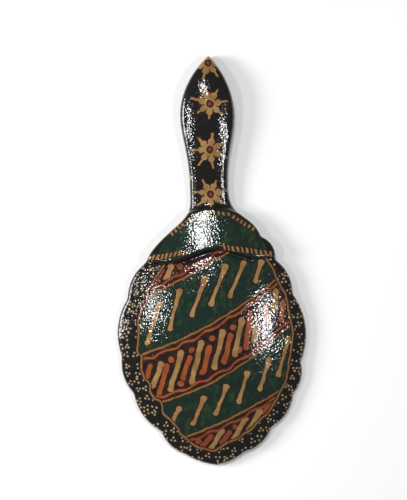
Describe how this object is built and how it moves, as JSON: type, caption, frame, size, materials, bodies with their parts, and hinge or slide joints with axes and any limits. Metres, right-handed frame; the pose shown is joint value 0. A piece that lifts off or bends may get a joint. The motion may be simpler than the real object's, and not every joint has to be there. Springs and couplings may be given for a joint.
{
  "type": "hand mirror",
  "caption": "Carved wooden hand mirror with a scalloped, domed, painted back, a raised collar, a leaf-shaped handle and an oval glass set in its flat front.",
  "frame": {"origin": "on the flat front plane, under the middle of the overall length and width", "axes": "+Y along the handle to its tip, +Z out of the domed painted back, +X across the mirror; it lies glass side down"},
  "size_m": [0.0831, 0.1804, 0.012],
  "materials": {
    "painted_wood": "wax-resist pattern in tan, rust and dark green on near-black dye, under a glossy clear lacquer",
    "mirror_glass": "silvered glass with a ground edge",
    "adhesive": "cured contact adhesive"
  },
  "bodies": {
    "root": {"carved_body": "painted_wood", "mirror_glass": "mirror_glass", "adhesive_dabs": "adhesive"}
  },
  "joints": []
}
